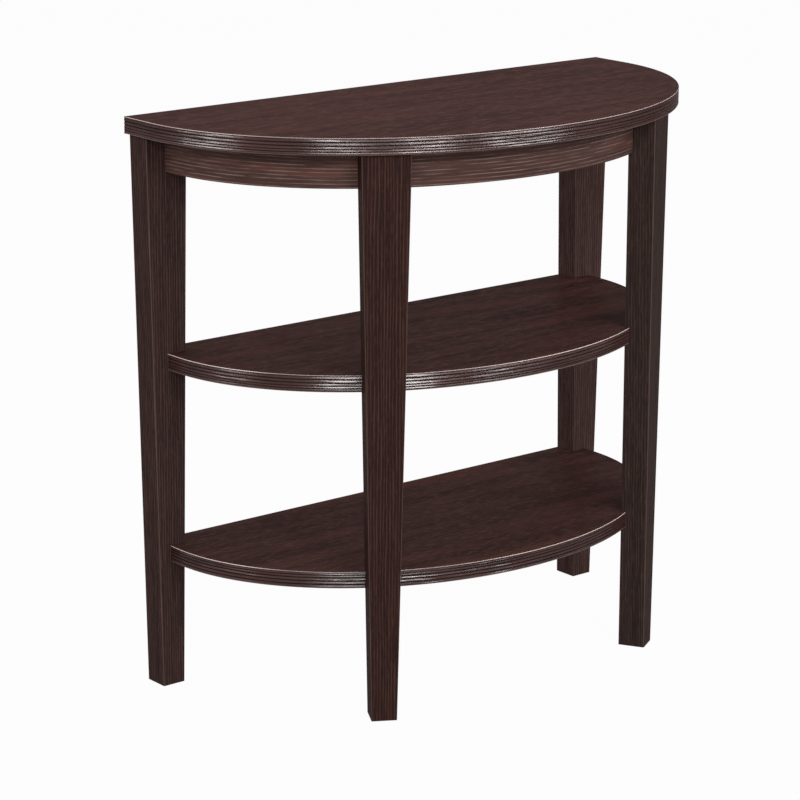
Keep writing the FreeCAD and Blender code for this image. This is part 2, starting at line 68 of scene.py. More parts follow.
class Term:
    """A node socket that takes part in Python arithmetic: every operator adds a Math node."""

    def __init__(self, graph: "Graph", socket: bpy.types.NodeSocket) -> None:
        """Keep the socket and the graph it belongs to."""
        self.graph = graph
        self.socket = socket

    def math(self, operation: str, *operands: Any) -> "Term":
        """Add a Math node.

        Args:
            operation: Name of the Math node's operation.
            operands: Terms or numbers, in the order of the node's sockets.

        Returns:
            The node's result.
        """
        return self.graph.add("ShaderNodeMath", {"operation": operation}, dict(enumerate(operands)))

    def __add__(self, other: Any) -> "Term":
        """Sum."""
        return self.math("ADD", self, other)

    def __sub__(self, other: Any) -> "Term":
        """Difference."""
        return self.math("SUBTRACT", self, other)

    def __rsub__(self, other: Any) -> "Term":
        """Difference with the number first."""
        return self.math("SUBTRACT", other, self)

    def __mul__(self, other: Any) -> "Term":
        """Product."""
        return self.math("MULTIPLY", self, other)

    def __truediv__(self, other: Any) -> "Term":
        """Quotient."""
        return self.math("DIVIDE", self, other)

    def __rtruediv__(self, other: Any) -> "Term":
        """Quotient with the number first."""
        return self.math("DIVIDE", other, self)

    def __pow__(self, other: Any) -> "Term":
        """Power."""
        return self.math("POWER", self, other)

    __radd__ = __add__
    __rmul__ = __mul__

    def size(self) -> "Term":
        """Value without its sign."""
        return self.math("ABSOLUTE", self)

    def least(self, other: Any) -> "Term":
        """Smaller of two values."""
        return self.math("MINIMUM", self, other)

    def most(self, other: Any) -> "Term":
        """Larger of two values."""
        return self.math("MAXIMUM", self, other)

    def cosine(self) -> "Term":
        """Cosine of an angle in radians."""
        return self.math("COSINE", self)

    def rise(self, start: float, end: float) -> "Term":
        """Smooth step.

        Args:
            start: Value up to which the step is 0.
            end: Value from which the step is 1.

        Returns:
            The step.
        """
        return self.graph.add("ShaderNodeMapRange", {"interpolation_type": "SMOOTHSTEP"},
                              {0: self, 1: start, 2: end, 3: 0.0, 4: 1.0})

    def between(self, low: Any, high: Any) -> "Term":
        """Value that goes from low to high while this one goes from 0 to 1."""
        return self * (high - low) + low

    def other(self, name: str) -> "Term":
        """Another output of the same node."""
        return Term(self.graph, self.socket.node.outputs[name])


class Graph:
    """Adds nodes to a shader tree or a geometry tree and links their sockets."""

    def __init__(self, tree: bpy.types.NodeTree) -> None:
        """Keep the tree that nodes are added to."""
        self.tree = tree

    def add(self, kind: str, settings: dict[str, Any] | None = None,
            inputs: dict[Any, Any] | None = None, output: Any = 0) -> Term:
        """Add one node.

        Args:
            kind: Type name of the node.
            settings: Attributes of the node, set first; "captures" lists (type, name) of capture items.
            inputs: Terms to link or values to set, by socket name or number.
            output: Name or number of the socket to return.

        Returns:
            The chosen output of the node.
        """
        node = self.tree.nodes.new(kind)
        for name, setting in (settings or {}).items():
            if name == "captures":
                for item_type, item_name in setting:
                    node.capture_items.new(item_type, item_name)
            else:
                setattr(node, name, setting)
        for name, value in (inputs or {}).items():
            self.feed(node.inputs[name], value)
        return Term(self, node.outputs[output]) if node.outputs else Term(self, node.inputs[0])

    def feed(self, socket: bpy.types.NodeSocket, value: Any) -> None:
        """Link a term to a socket, or set the socket's own value.

        Args:
            socket: Input to feed.
            value: Term to link, or plain value.
        """
        if isinstance(value, Term):
            self.tree.links.new(value.socket, socket)
        else:
            socket.default_value = value

    def vector(self, x: Any, y: Any, z: Any) -> Term:
        """Vector from three values."""
        return self.add("ShaderNodeCombineXYZ", {}, {"X": x, "Y": y, "Z": z})

    def scaled(self, vector: Term, factors: Iterable[float]) -> Term:
        """Vector with each part multiplied by its own factor."""
        return self.add("ShaderNodeVectorMath", {"operation": "MULTIPLY"}, {0: vector, 1: tuple(factors)})

    def parts(self, vector: Term) -> tuple[Term, Term, Term]:
        """Take a vector apart.

        Args:
            vector: Vector to take apart.

        Returns:
            Its three values.
        """
        first = self.add("ShaderNodeSeparateXYZ", {}, {0: vector}, "X")
        return first, first.other("Y"), first.other("Z")

    def noise(self, vector: Term, detail: float = 3.0, roughness: float = 0.5) -> Term:
        """Noise at a vector that is already scaled.

        Args:
            vector: Place in the noise.
            detail: Number of finer layers.
            roughness: Strength of each finer layer.

        Returns:
            Value between 0 and 1.
        """
        return self.add("ShaderNodeTexNoise", {"noise_dimensions": "3D"},
                        {"Vector": vector, "Scale": 1.0, "Detail": detail, "Roughness": roughness})

    def place(self) -> Term:
        """Place of a point in its object."""
        return self.add("ShaderNodeTexCoord", {}, {}, "Object")

    def surface(self, inputs: dict[str, Any]) -> None:
        """Give the material a Principled shader with these inputs."""
        shader = self.add("ShaderNodeBsdfPrincipled", {}, inputs)
        self.add("ShaderNodeOutputMaterial", {}, {"Surface": shader})

    def blend(self, factor: Any, first: Any, second: Any) -> Term:
        """Mix two colours.

        Args:
            factor: Share of the second colour.
            first: First colour.
            second: Second colour.

        Returns:
            The mixed colour.
        """
        return self.add("ShaderNodeMix", {"data_type": "RGBA"},
                        {0: factor, 6: first, 7: second}, 2)


class Mark(Enum):
    """Values that an edge band carries for its finish."""

    RUN = "run"
    RIDGE = "ridge"
    # Mask of the painted highlight along a band's arris.
    ARRIS_HIGHLIGHT = "arris"
    GLOSS = "gloss"


def new_graph(name: str) -> tuple[bpy.types.Material, Graph]:
    """Make an empty material.

    Args:
        name: Name of the material.

    Returns:
        The material and the graph of its nodes.
    """
    made = bpy.data.materials.new(name)
    made.use_nodes = True
    made.node_tree.nodes.clear()
    return made, Graph(made.node_tree)


def new_object(name: str, data: bpy.types.ID) -> bpy.types.Object:
    """Make an object and put it in the scene.

    Args:
        name: Name of the object.
        data: Its mesh, lamp or camera.

    Returns:
        The object.
    """
    made = bpy.data.objects.new(name, data)
    bpy.context.scene.collection.objects.link(made)
    return made


def direction(heading: float, elevation: float) -> Vector:
    """Work out which way an angle points.

    Args:
        heading: Degrees from +X towards +Y.
        elevation: Degrees above the horizon.

    Returns:
        Vector of length 1.
    """
    turn = math.radians(heading)
    rise = math.radians(elevation)
    flat = math.cos(rise)
    return Vector((math.cos(turn) * flat, math.sin(turn) * flat, math.sin(rise)))


@dataclass(frozen=True)
class Bow:
    """Outline of a board: short straight ends and a half-ellipse at the front.

    Attributes:
        half_width: Half of the board's width.
        depth: How far the half-ellipse reaches forward.
        start: Place along Y where the half-ellipse begins.
    """

    half_width: float
    depth: float
    start: float

    def point(self, angle: float) -> Vector:
        """Point of the half-ellipse; 0 is the left end and pi the right end."""
        return Vector((-self.half_width * math.cos(angle), self.start - self.depth * math.sin(angle), 0.0))

    def angle_at(self, x: float) -> float:
        """Angle of the point of the half-ellipse at x."""
        return math.acos(max(-1.0, min(1.0, -x / self.half_width)))

    def arc(self, first: float, last: float, count: int) -> list[Vector]:
        """Points of the half-ellipse from one angle to another."""
        return [self.point(first + (last - first) * index / count) for index in range(count + 1)]

    def inside(self, inset: float) -> "Bow":
        """Outline that lies inside this one."""
        return Bow(self.half_width - inset, self.depth - inset, self.start)


@dataclass(frozen=True)
class Taper:
    """Sizes of a leg.

    Attributes:
        height: Height of the leg.
        thickness: Thickness, the same from top to foot.
        top_width: Width under the top.
        foot_width: Width at the floor.
        easing: Radius of the long edges.
    """

    height: float
    thickness: float
    top_width: float
    foot_width: float = 0.033
    easing: float = 0.0015


@dataclass(frozen=True)
class Laminate:
    """Dark wood-grain laminate with an embossed grain along X and a satin lacquer.

    The values in capitals are the same for every laminate.

    Attributes:
        name: Name of the material.
        dark: Deepest tone of the grain.
        brown: Common tone of the grain.
        red: Tone of the reddish streaks.
        pale: Tone of the embossed lines and flecks.
        light_tint: Factors on all tones, painted light and shade that make a piece lighter, darker or
            greyer than its fellows.
        red_share: How strongly the reddish streaks show.
        line_share: How strongly the pale lines show.
        line_pitch: Distance between the embossed lines, in metres.
        line_length: Length of a line before it breaks, in metres.
        line_drift: How far a line wanders, as a share of the pitch.
        line_edge: How narrow a pale line is; 1 makes it as wide as the gap.
        line_gaps: How much of the lines is missing, between 0 and 1.
        fleck_share: How strongly the pale flecks show.
        fleck_pitch: Distance between flecks across the grain, in metres.
        fleck_length: Length of a fleck along the grain, in metres.
        streak_pitch: Distance between streaks, in metres.
        streak_length: Length of a streak, in metres.
        roughness: Roughness of the lacquer.
        sheen_level: Specular level of the lacquer.
        relief: Depth of the embossed grain, in metres.
    """

    # Values of the noise between which a mark comes in.
    FLECKS = (0.46, 0.68)
    STREAKS = (0.30, 0.66)
    REDDENING = (0.48, 0.72)
    CLOUDS = (0.40, 0.66)
    # How much longer and wider clouds of red are than streaks, and the drift of a line than the line.
    CLOUD_STRETCH = (2.5, 4.0)
    DRIFT_STRETCH = (4.0, 5.0)
    # Softness of the ends of a line, strength of each finer layer of noise, and how marks press and dull.
    LINE_FADE = 0.3
    FINE_SHARE = 0.6
    EMBOSS = 0.6
    FLECK_RELIEF = 0.5
    DULLING = 0.06

    name: str
    dark: Colour = (0.043, 0.0188, 0.0165)
    brown: Colour = (0.062, 0.0270, 0.0242)
    red: Colour = (0.100, 0.0310, 0.0230)
    pale: Colour = (0.145, 0.0720, 0.0620)
    light_tint: Colour = (1.0, 1.0, 1.0)
    red_share: float = 0.6
    line_share: float = 0.06
    line_pitch: float = 0.0042
    line_length: float = 0.050
    line_drift: float = 1.2
    line_edge: float = 1.0
    line_gaps: float = 0.30
    fleck_share: float = 0.42
    fleck_pitch: float = 0.0034
    fleck_length: float = 0.0180
    streak_pitch: float = 0.024
    streak_length: float = 0.120
    roughness: float = 0.50
    sheen_level: float = 0.06
    relief: float = 0.00020

    def material(self) -> bpy.types.Material:
        """Build the material.

        Returns:
            The finished material.
        """
        made, graph = new_graph(self.name)
        run = self._run(graph)
        lines = self._lines(graph, run)
        flecks = self._spread(graph, run, self.fleck_length, self.fleck_pitch).rise(*self.FLECKS)
        streaks = self._spread(graph, run, self.streak_length, self.streak_pitch)
        tone = self._ground(graph, run, streaks)
        tone = graph.blend(lines * self.line_share, tone, self._rgba(self.pale))
        tone = graph.blend(flecks * self.fleck_share, tone, self._rgba(self.pale))
        emboss = {"Strength": self.EMBOSS, "Distance": self.relief,
                  "Height": lines + flecks * self.FLECK_RELIEF}
        roughness = streaks.between(self.roughness - self.DULLING / 2, self.roughness + self.DULLING / 2)
        inputs = {"Base Color": tone, "Roughness": roughness, "Specular IOR Level": self.sheen_level,
                  "Normal": graph.add("ShaderNodeBump", {}, emboss)}
        inputs.update(self._details(graph, run, tone))
        graph.surface(inputs)
        return made

    def _rgba(self, colour: Colour) -> tuple[float, float, float, float]:
        """Colour in the piece's painted light tint, with full opacity."""
        return (*(part * factor for part, factor in zip(colour, self.light_tint)), 1.0)

    def _spread(self, graph: Graph, run: Term, length: float, pitch: float, detail: float = 3.0) -> Term:
        """Noise drawn out along the grain.

        Args:
            graph: Graph of the material.
            run: Distances along and across the grain.
            length: Length of a mark along the grain.
            pitch: Distance between marks across the grain.
            detail: Number of finer layers.

        Returns:
            Value between 0 and 1.
        """
        drawn = graph.scaled(run, (1.0 / length, 1.0 / pitch, 1.0 / pitch))
        return graph.noise(drawn, detail, self.FINE_SHARE)

    def _run(self, graph: Graph) -> Term:
        """Vector of distances along the grain and across it, in metres."""
        return graph.place()

    def _ground(self, graph: Graph, run: Term, streaks: Term) -> Term:
        """Tone of the grain under its lines and flecks.

        Args:
            graph: Graph of the material.
            run: Distances along and across the grain.
            streaks: Noise of the streaks.

        Returns:
            Colour of the grain.
        """
        longer, wider = self.CLOUD_STRETCH
        clouds = self._spread(graph, run, self.streak_length * longer, self.streak_pitch * wider)
        tone = graph.blend(streaks.rise(*self.STREAKS), self._rgba(self.dark), self._rgba(self.brown))
        redness = streaks.rise(*self.REDDENING) * clouds.rise(*self.CLOUDS) * self.red_share
        return graph.blend(redness, tone, self._rgba(self.red))

    def _lines(self, graph: Graph, run: Term) -> Term:
        """Embossed lines along the grain, wandering and broken.

        Args:
            graph: Graph of the material.
            run: Distances along and across the grain.

        Returns:
            Mask of the lines.
        """
        _, across, through = graph.parts(run)
        longer, wider = self.DRIFT_STRETCH
        drift = self._spread(graph, run, self.line_length * longer, self.line_pitch * wider)
        phase = (across + through) / self.line_pitch + drift * self.line_drift
        wave = ((phase * math.tau).cosine() * 0.5 + 0.5) ** self.line_edge
        broken = self._spread(graph, run, self.line_length, self.line_pitch)
        return wave * broken.rise(self.line_gaps, self.line_gaps + self.LINE_FADE)

    def _details(self, graph: Graph, run: Term, tone: Term) -> dict[str, Any]:
        """Shader inputs that a kind of piece adds or changes."""
        return {}


@dataclass(frozen=True)
class LegLaminate(Laminate):
    """Laminate of a leg, with upright grain and a painted highlight along its long edges.

    Attributes:
        x: Middle of the leg along the back edge.
        y: Middle of the leg along the depth.
        turn: Turn of the leg about the upright axis, in radians.
        taper: Sizes of the leg.
        edge_highlight: Tone of the painted highlight on the eased edges.
        edge_highlight_share: How strongly the painted highlight on the eased edges shows.
    """

    # Shares of the way round an eased edge between which the painted highlight comes in.
    HIGHLIGHT_SPREAD = (0.05, 0.6)

    x: float = 0.0
    y: float = 0.0
    turn: float = 0.0
    taper: Taper | None = None
    edge_highlight: Colour = (0.155, 0.1000, 0.0850)
    edge_highlight_share: float = 0.6

    def _run(self, graph: Graph) -> Term:
        """Grain that runs up the leg.

        Args:
            graph: Graph of the material.

        Returns:
            Distances up the leg, across its width and through its thickness.
        """
        local = graph.add("ShaderNodeMapping", {"vector_type": "TEXTURE"}, {
            "Vector": super()._run(graph), "Location": (self.x, self.y, 0.0),
            "Rotation": (0.0, 0.0, self.turn)})
        x, y, z = graph.parts(local)
        return graph.vector(z, x, y)

    def _details(self, graph: Graph, run: Term, tone: Term) -> dict[str, Any]:
        """Painted highlight on the four long edges.

        Args:
            graph: Graph of the material.
            run: Distances up the leg, across and through it.
            tone: Colour of the flat faces.

        Returns:
            The changed colour.
        """
        sizes = self.taper
        level, across, through = graph.parts(run)
        spread = (sizes.top_width - sizes.foot_width) / 2 / sizes.height
        half_width = level * spread + sizes.foot_width / 2
        side = (across.size() - half_width) / sizes.easing + 1.0
        face = (through.size() - sizes.thickness / 2) / sizes.easing + 1.0
        edges = side.least(face).rise(*self.HIGHLIGHT_SPREAD)
        # Painted highlight on the eased edges, where the rounded corners catch the light.
        return {"Base Color": graph.blend(edges * self.edge_highlight_share, tone, (*self.edge_highlight, 1.0))}


@dataclass(frozen=True)
class BowLaminate(Laminate):
    """Laminate of a curved piece, with the grain round the bow.

    Attributes:
        bow: Outline that the grain goes round.
    """

    bow: Bow | None = None

    def _run(self, graph: Graph) -> Term:
        """Grain that runs round the bow.

        Args:
            graph: Graph of the material.

        Returns:
            Distances round the bow, up, and outwards.
        """
        x, y, z = graph.parts(super()._run(graph))
        across = x / self.bow.half_width
        forward = (self.bow.start - y) / self.bow.depth
        angle = across.math("ARCTAN2", across, forward)
        reach = across.math("SQRT", across * across + forward * forward)
        return graph.vector(angle * self.bow.half_width, z, reach * self.bow.half_width)


@dataclass(frozen=True)
class BandLaminate(Laminate):
    """Laminate of an edge band, with painted shade in its grooves, a painted highlight on its arris and a
    clear coat on the ridges.

    Attributes:
        edge_highlight: Tone of the painted highlight on the arris.
        groove_shade: Tone of the painted shade at the bottom of the grooves.
        dash_length: Length of a dark stretch of painted groove shade, in metres.
        dash_pitch: Distance over which the painted groove shade breaks up, in metres.
        groove_break: How much less painted shade a groove has between its dark stretches.
        coat_break: How much thinner the clear coat is there.
        coat: Strength of the clear coat.
        coat_roughness: Roughness of the clear coat.
        coat_ior: Refractive index of the clear coat.
    """

    # Values of the noise, the ridge and the gloss between which dark stretches, the painted groove shade
    # and the coat change.
    DASHES = (0.35, 0.60)
    VALLEY = (0.0, 0.45)
    SHINE = (0.45, 0.95)

    edge_highlight: Colour = (0.960, 0.7700, 0.7300)
    groove_shade: Colour = (0.006, 0.0030, 0.0026)
    dash_length: float = 0.028
    dash_pitch: float = 0.0040
    groove_break: float = 0.4
    coat_break: float = 0.45
    coat: float = 1.0
    coat_roughness: float = 0.22
    coat_ior: float = 1.7

    def _run(self, graph: Graph) -> Term:
        """Distances along the band, up it and through it."""
        return graph.add("ShaderNodeAttribute", {"attribute_name": Mark.RUN.value}, {}, "Vector")

    def _details(self, graph: Graph, run: Term, tone: Term) -> dict[str, Any]:
        """Painted shade in the grooves, painted highlight on the arris, and clear coat.

        Args:
            graph: Graph of the material.
            run: Distances along the band, up it and through it.
            tone: Colour of the ridges.

        Returns:
            The changed colour, and the coat.
        """
        ridge, arris, gloss = (graph.add("ShaderNodeAttribute", {"attribute_name": mark.value}, {}, "Fac")
                               for mark in (Mark.RIDGE, Mark.ARRIS_HIGHLIGHT, Mark.GLOSS))
        dashes = self._spread(graph, run, self.dash_length, self.dash_pitch, detail=1.0).rise(*self.DASHES)
        # Painted shade in the valleys between the ridges, broken into dark stretches.
        grooves = (1.0 - ridge.rise(*self.VALLEY)) * dashes.between(1.0 - self.groove_break, 1.0)
        tone = graph.blend(grooves, tone, self._rgba(self.groove_shade))
        # Painted highlight along the arris.
        tone = graph.blend(arris, tone, self._rgba(self.edge_highlight))
        weight = gloss.rise(*self.SHINE) * dashes.between(1.0 - self.coat_break, 1.0) * self.coat
        return {"Base Color": tone, "Coat Weight": weight, "Coat Roughness": self.coat_roughness,
                "Coat IOR": self.coat_ior}


@dataclass(frozen=True)
class Beech:
    """Plain unfinished beech of the dowels.

    Attributes:
        name: Name of the material.
        light: Tone of the wood.
        fleck: Tone of the flecks.
        crowding: Number of flecks to the metre along each axis.
        roughness: Roughness of the wood.
        fleck_roughness: How much rougher a fleck is.
        sheen_level: Specular level of the wood.
        relief: Height of a fleck, in metres.
    """

    # Values of the noise between which a fleck comes in, and how strongly it is pressed.
    FLECKS = (0.5, 0.68)
    EMBOSS = 0.3

    name: str = "plain_beech"
    light: Colour = (0.58, 0.36, 0.17)
    fleck: Colour = (0.40, 0.22, 0.09)
    crowding: tuple[float, float, float] = (700.0, 700.0, 120.0)
    roughness: float = 0.55
    fleck_roughness: float = 0.15
    sheen_level: float = 0.3
    relief: float = 0.0001

    def material(self) -> bpy.types.Material:
        """Build the material.

        Returns:
            Beech with short darker flecks.
        """
        made, graph = new_graph(self.name)
        flecks = graph.noise(graph.scaled(graph.place(), self.crowding)).rise(*self.FLECKS)
        tone = graph.blend(flecks, (*self.light, 1.0), (*self.fleck, 1.0))
        bump = graph.add("ShaderNodeBump", {}, {
            "Strength": self.EMBOSS, "Distance": self.relief, "Height": flecks})
        graph.surface({"Base Color": tone, "Roughness": flecks * self.fleck_roughness + self.roughness,
                       "Normal": bump, "Specular IOR Level": self.sheen_level})
        return made


@dataclass(frozen=True)
class Zinc:
    """Zinc of the cam bolts and cam locks.

    Attributes:
        name: Name of the material.
        bright: Tone of clean metal.
        dull: Tone of the dull patches.
        roughness: Roughness of clean metal.
        dulling: How much rougher the dull patches are.
        crowding: Number of patches to the metre.
    """

    # Values of the noise between which a dull patch comes in, and the number of its finer layers.
    PATCHES = (0.4, 0.65)
    LAYERS = 4.0

    name: str
    bright: Colour
    dull: Colour
    roughness: float
    dulling: float = 0.2
    crowding: float = 350.0

    def material(self) -> bpy.types.Material:
        """Build the material.

        Returns:
            Metal with dull patches.
        """
        made, graph = new_graph(self.name)
        place = graph.scaled(graph.place(), (self.crowding,) * 3)
        patches = graph.noise(place, self.LAYERS).rise(*self.PATCHES)
        tone = graph.blend(patches, (*self.bright, 1.0), (*self.dull, 1.0))
        graph.surface({"Base Color": tone, "Roughness": patches * self.dulling + self.roughness,
                       "Metallic": 1.0})
        return made


def dress(node: str, material: bpy.types.Material) -> None:
    """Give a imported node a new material.

    Args:
        node: Name of the node.
        material: Material for all of it.
    """
    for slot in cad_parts[node].material_slots:
        slot.material = material
    LOG.info("dressed %s in %s", node, material.name)


@dataclass
class Legs:
    """The four tapered legs.

    Attributes:
        finish: Laminate of the darkest and reddest leg.
        front_turn: Turn of the front legs from facing straight forward, in radians.
        light_tints: Painted light and sheen: how much lighter and greyer each leg is made than that one.
        line_shares: How strongly the pale lines of each leg show.
    """

    finish: LegLaminate = LegLaminate(
        "leg_laminate", dark=(0.0262, 0.0133, 0.0118), brown=(0.0318, 0.0161, 0.0144),
        red=(0.045, 0.0180, 0.0148), pale=(0.122, 0.0565, 0.0445), line_pitch=0.0040, line_length=0.060,
        line_drift=2.2, line_edge=5.0, line_gaps=0.31, fleck_share=0.20, fleck_pitch=0.0018,
        fleck_length=0.014, streak_pitch=0.012, streak_length=0.260, roughness=0.66, sheen_level=0.01)
    front_turn: float = math.radians(30)
    # Painted light: the other legs are lightened and greyed for the light and sheen that falls on them.
    light_tints: dict[str, Colour] = field(default_factory=lambda: {
        "front_left": (1.0, 1.0, 1.0), "front_right": (1.25, 1.62, 1.68),
        "back_left": (1.36, 1.62, 1.70), "back_right": (1.95, 2.30, 2.42)})
    line_shares: dict[str, float] = field(default_factory=lambda: {
        "front_left": 0.62, "front_right": 0.42, "back_left": 0.54, "back_right": 0.50})

    def dress(self) -> None:
        """Give each leg its own laminate, with the grain running up it."""
        low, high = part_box("back_left_leg")
        taper = Taper(high.z - low.z, high.y - low.y, high.x - low.x)
        for place in ("back", "front"):
            for side, sign in (("left", -1), ("right", 1)):
                leg = f"{place}_{side}"
                node = leg + "_leg"
                low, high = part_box(node)
                finish = replace(self.finish, name=node + "_laminate", light_tint=self.light_tints[leg],
                                 line_share=self.line_shares[leg],
                                 x=(low.x + high.x) / 2, y=(low.y + high.y) / 2, taper=taper,
                                 turn=sign * self.front_turn if place == "front" else 0.0)
                dress(node, finish.material())


@dataclass
class Boards:
    """The top, the two shelves and the rail behind.

    Attributes:
        top: Laminate of the top.
        shelf: Laminate of both shelves.
        rail: Laminate of the rail.
    """

    top: Laminate = Laminate("top_laminate", red_share=0.4, streak_length=0.340)
    # The shelves' tint is painted light, lightening them for the sheen and light they catch.
    shelf: Laminate = Laminate(
        "shelf_laminate", dark=(0.035, 0.0155, 0.0138), light_tint=(1.22, 1.22, 1.22), red_share=0.70,
        streak_pitch=0.026, streak_length=0.320)
    rail: Laminate = Laminate("rail_laminate")

    def dress(self) -> None:
        """Give each board its laminate."""
        dress("top_panel", self.top.material())
        shelf = self.shelf.material()
        for node in ("middle_shelf", "lower_shelf"):
            dress(node, shelf)
        dress("back_rail", self.rail.material())


@dataclass
class Aprons:
    """The three curved aprons under the top.

    Attributes:
        bow: Outline of the aprons' outer face.
        finish: Laminate with the grain round the bow.
    """

    bow: Bow
    finish: BowLaminate = BowLaminate(
        "apron_laminate", dark=(0.066, 0.0335, 0.0285), brown=(0.094, 0.0480, 0.0405),
        red=(0.150, 0.0560, 0.0410), red_share=0.8, pale=(0.320, 0.2200, 0.1950), line_share=0.75,
        line_pitch=0.0046, line_length=0.050, line_drift=0.9, line_edge=7.0, line_gaps=0.35,
        fleck_share=0.08, fleck_pitch=0.0024, fleck_length=0.030, streak_pitch=0.012)

    def dress(self) -> None:
        """Give the aprons their laminate."""
        material = replace(self.finish, bow=self.bow).material()
        for side in ("left", "front", "right"):
            dress(side + "_apron", material)


@dataclass
class EdgeBands:
    """Embossed bands on the edges of the top and the shelves, each with ridges along its length.

    Attributes:
        top_bow: Outline of the top.
        shelf_bow: Outline of the shelves.
        thickness: Thickness of a band.
        arris: Radius of a band's long edges.
        arris_points: Number of points round that radius.
        step: Distance between points along a band.
        fineness: Distance between points round a band.
        first_ridge: Distance of the first ridge from a band's upper edge.
        turned_first_ridge: The same on the lower shelf, whose bands are on upside down.
        wide_gaps: Number of wide gaps between ridges that follow the first ridge.
        wide_pitch: Distance between ridges at a wide gap.
        close_pitch: Distance between the ridges after those.
        depth: Depth of the valleys at a wide gap.
        wander: How far ridges drift up and down, as a share of their distance.
        wander_length: Distance along a band over which ridges drift.
        wander_pitch: Distance across a band over which the drift changes.
        slope_share: Share of a ridge that slopes up towards its crest from above.
        crest_round: How rounded the crests are, as a share of the valleys' depth.
        uneven_share: How much lower the lowest stretches of a ridge are, as a share of its height.
        uneven_length: Distance along a band over which ridges rise and sink.
        uneven_pitch: Distance across a band over which the heights change.
        least_highlight: Painted highlight on the upper arris where it shows least.
        top_highlight: Painted highlight on the upper arris towards the ends of the top.
        shelf_highlight: The same on the shelves.
        highlight_left: Leftward turns of the face between which the painted highlight grows.
        highlight_right: Rightward turns of the face between which the painted highlight grows.
        shine_from: Rightward turn of the face from which the clear coat grows thinner.
        shine_to: Rightward turn of the face from which there is no clear coat.
        end_gap: Room between the end of a shelf's band and a leg.
        arc_points: Number of straight pieces that a bowed path is drawn with.
        lower_shade_tint: Painted shade: how much darker the lower shelf's bands are made than the others.
        finish: Laminate of the bands that show at the front.
        tree: Geometry tree that sweeps a band.
        sockets: Identifiers of the tree's inputs.
    """

    # The last input but one sets the strength of the painted arris highlight.
    INPUTS = ("Height", "Thickness", "Arris", "Step", "Fineness", "First Ridge", "Wide Pitch",
              "Close Pitch", "Depth", "Wander", "Way", "Highlight", "Seed")
    # Shares of a band's thickness, from its middle outwards, between which its outer face begins.
    FACE = (0.2, 0.3)
    # Distances from a long edge, in radii of the arris, over which the ridges begin and the painted arris
    # highlight ends.
    RIDGES_BEGIN = (0.9, 1.5)
    HIGHLIGHT_ENDS = (0.75, 1.55)
    # Painted highlight on the lower edge, and shares of the half height over which it grows to that of the
    # upper edge.
    LOWER_HIGHLIGHT = 0.15
    HIGHLIGHT_GROWS = (0.0, 0.5)
    # Values of the noise between which a ridge rises from its lowest to its full height.
    HEIGHTS = (0.25, 0.55)
    # Steps up a ridge between which its gloss begins, and steps round its crest between which it ends.
    GLOSS_BEGINS = (0.04, 0.22)
    GLOSS_ENDS = (-0.04, 0.06)
    # How far apart two bands read the noise of the drift, of the heights and of the grain.
    DRIFT_SHIFT = 7.3
    HEIGHT_SHIFT = 3.1
    GRAIN_SHIFT = 1.37

    top_bow: Bow
    shelf_bow: Bow
    thickness: float = 0.0015
    arris: float = 0.0012
    arris_points: int = 4
    step: float = 0.003
    fineness: float = 0.00018
    first_ridge: float = 0.0046
    turned_first_ridge: float = 0.0062
    wide_gaps: int = 2
    wide_pitch: float = 0.0044
    close_pitch: float = 0.0032
    depth: float = 0.00105
    wander: float = 0.25
    wander_length: float = 0.25
    wander_pitch: float = 0.0133
    slope_share: float = 0.65
    crest_round: float = 0.2
    uneven_share: float = 0.25
    uneven_length: float = 0.060
    uneven_pitch: float = 0.0033
    least_highlight: float = 0.38
    top_highlight: float = 0.60
    shelf_highlight: float = 1.0
    highlight_left: tuple[float, float] = (0.78, 0.90)
    highlight_right: tuple[float, float] = (-0.5, 0.15)
    shine_from: float = 0.1
    shine_to: float = 0.7
    end_gap: float = 0.0005
    arc_points: int = 240
    lower_shade_tint: Colour = (0.88, 0.88, 0.88)
    # The bands' tones are partly their own and partly painted sheen, lighter and greyer than the boards'.
    finish: BandLaminate = BandLaminate(
        "edge_band_laminate", dark=(0.054, 0.0250, 0.0220), brown=(0.082, 0.0395, 0.0360), line_share=0.0,
        fleck_share=0.0, roughness=0.45, sheen_level=0.02, relief=0.00002)
    tree: bpy.types.NodeTree | None = field(default=None, init=False)
    sockets: dict[str, str] = field(default_factory=dict, init=False)

    def build(self) -> None:
        """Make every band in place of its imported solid."""
        self._make_tree()
        front = self.finish.material()
        # The lower shelf's bands are a darker copy of the same finish: painted shade.
        lower = replace(self.finish, name="lower_shaded_band_laminate", light_tint=self.lower_shade_tint).material()
        # The back bands have no painted highlight on the arris and no coat.
        back = replace(self.finish, name="back_band_laminate", edge_highlight=self.finish.dark, coat=0.0).material()
        for seed, (node, path) in enumerate(self._paths().items()):
            material = lower if node.startswith("lower_shelf") else front
            band = self._sweep(node, path, back if node.endswith("back_band") else material, seed)
            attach(band, BODY)
            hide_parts(node)
            LOG.info("built %s with %d faces", band.name, len(band.data.polygons))

    def _paths(self) -> dict[str, list[Vector]]:
        """Lines along the middle of each band's height and thickness.

        Returns:
            Points of each line, by node.
        """
        top_low, top_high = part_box("top_front_band")
        paths = {"top_front_band": self._bowed(self.top_bow, top_low, top_high, top_high.y, top_high.y),
                 "top_back_band": self._straight("top_back_band", 0.0)}
        for shelf in ("middle_shelf", "lower_shelf"):
            for zone in ("left", "front", "right"):
                node = f"{shelf}_{zone}_band"
                low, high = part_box(node)
                left_back = high.y if zone == "left" else None
                right_back = high.y if zone == "right" else None
                paths[node] = self._bowed(self.shelf_bow, low, high, left_back, right_back)
            paths[shelf + "_back_band"] = self._straight(shelf + "_back_band", self.end_gap)
        return paths

